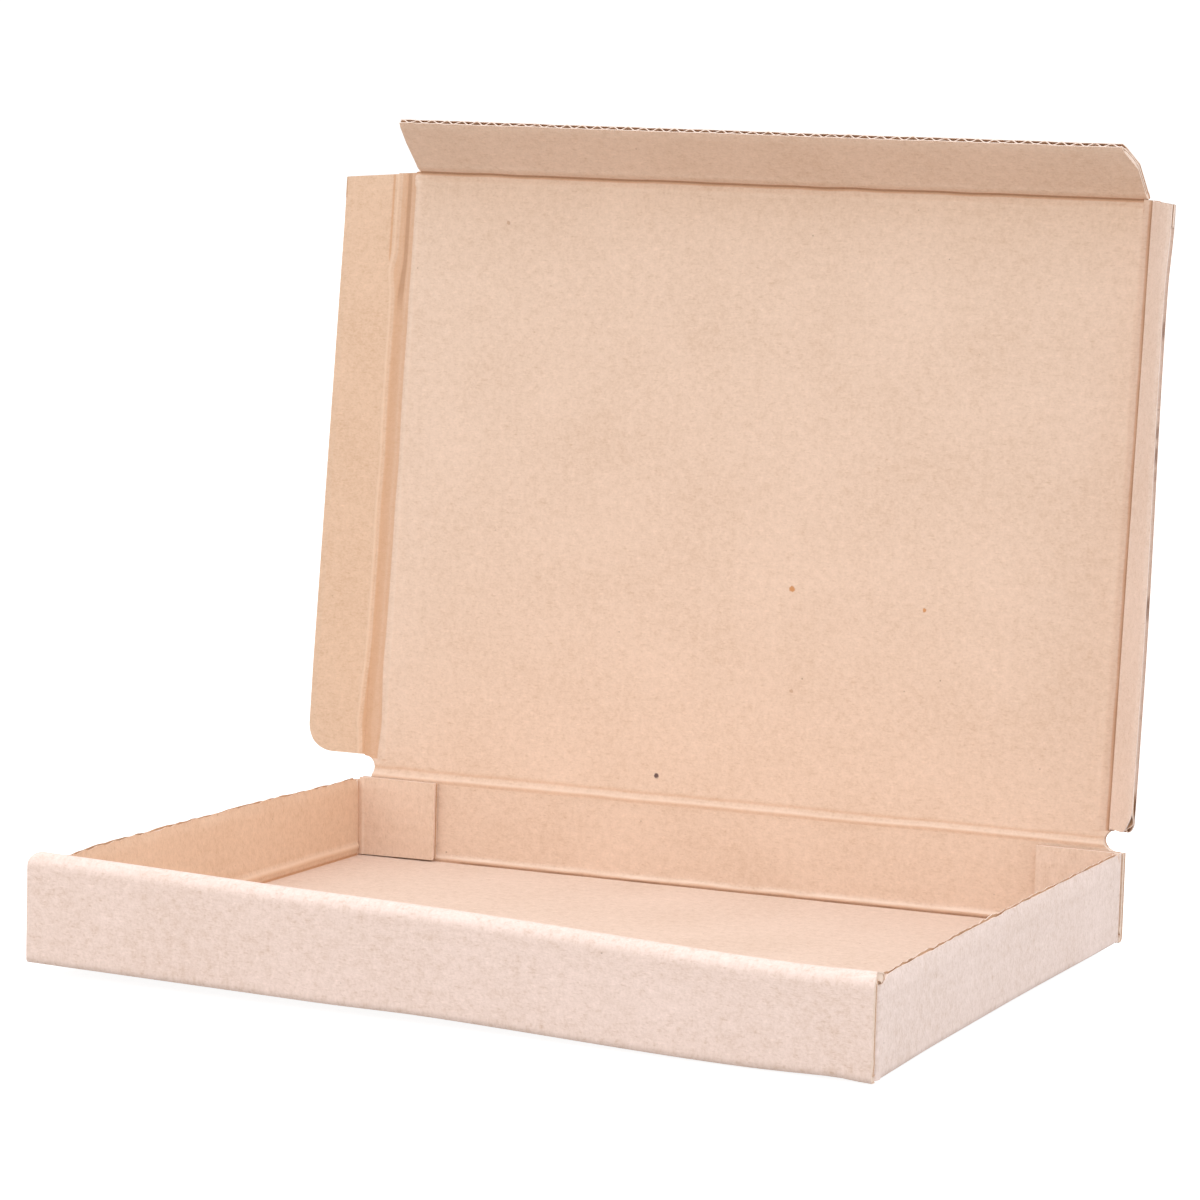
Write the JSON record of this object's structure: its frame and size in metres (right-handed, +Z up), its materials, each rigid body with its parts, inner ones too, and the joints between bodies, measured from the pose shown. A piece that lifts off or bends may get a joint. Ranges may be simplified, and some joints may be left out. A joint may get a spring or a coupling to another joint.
{
  "type": "corrugated mailer box",
  "caption": "Shallow die-cut mailer box of corrugated kraft board, open, with a rolled front wall and a hinged lid with side flaps and a front tuck flap.",
  "frame": {"origin": "centre of the tray's underside, on the surface that the box stands on", "axes": "+X to the right along the rolled front wall, +Y from the front wall to the lid crease, +Z up"},
  "size_m": [0.1799, 0.1386, 0.1508],
  "materials": {
    "kraft_board": "matt, uncoated, finely mottled with pale and dark fibres"
  },
  "bodies": {
    "tray": {"tray": "kraft_board"},
    "lid": {"lid": "kraft_board"},
    "front_flap": {"front_flap": "kraft_board"},
    "left_flap": {"left_flap": "kraft_board"},
    "right_flap": {"right_flap": "kraft_board"}
  },
  "joints": [
    {"name": "lid_crease", "type": "hinge", "parent": "tray", "child": "lid", "pos_m": [0, 0.06325, 0.0191], "axis": [1, 0, 0], "range_deg": [-85, 43]},
    {"name": "front_flap_crease", "type": "hinge", "parent": "lid", "child": "front_flap", "pos_m": [0, 0.07383, 0.14004], "axis": [1, 0, 0], "range_deg": [-52, 38]},
    {"name": "left_flap_crease", "type": "hinge", "parent": "lid", "child": "left_flap", "pos_m": [-0.0788, 0.06325, 0.0191], "axis": [0, 0.0872, 0.9962], "range_deg": [-3, 87]},
    {"name": "right_flap_crease", "type": "hinge", "parent": "lid", "child": "right_flap", "pos_m": [0.0788, 0.06325, 0.0191], "axis": [0, -0.0872, -0.9962], "range_deg": [-57, 33]}
  ]
}
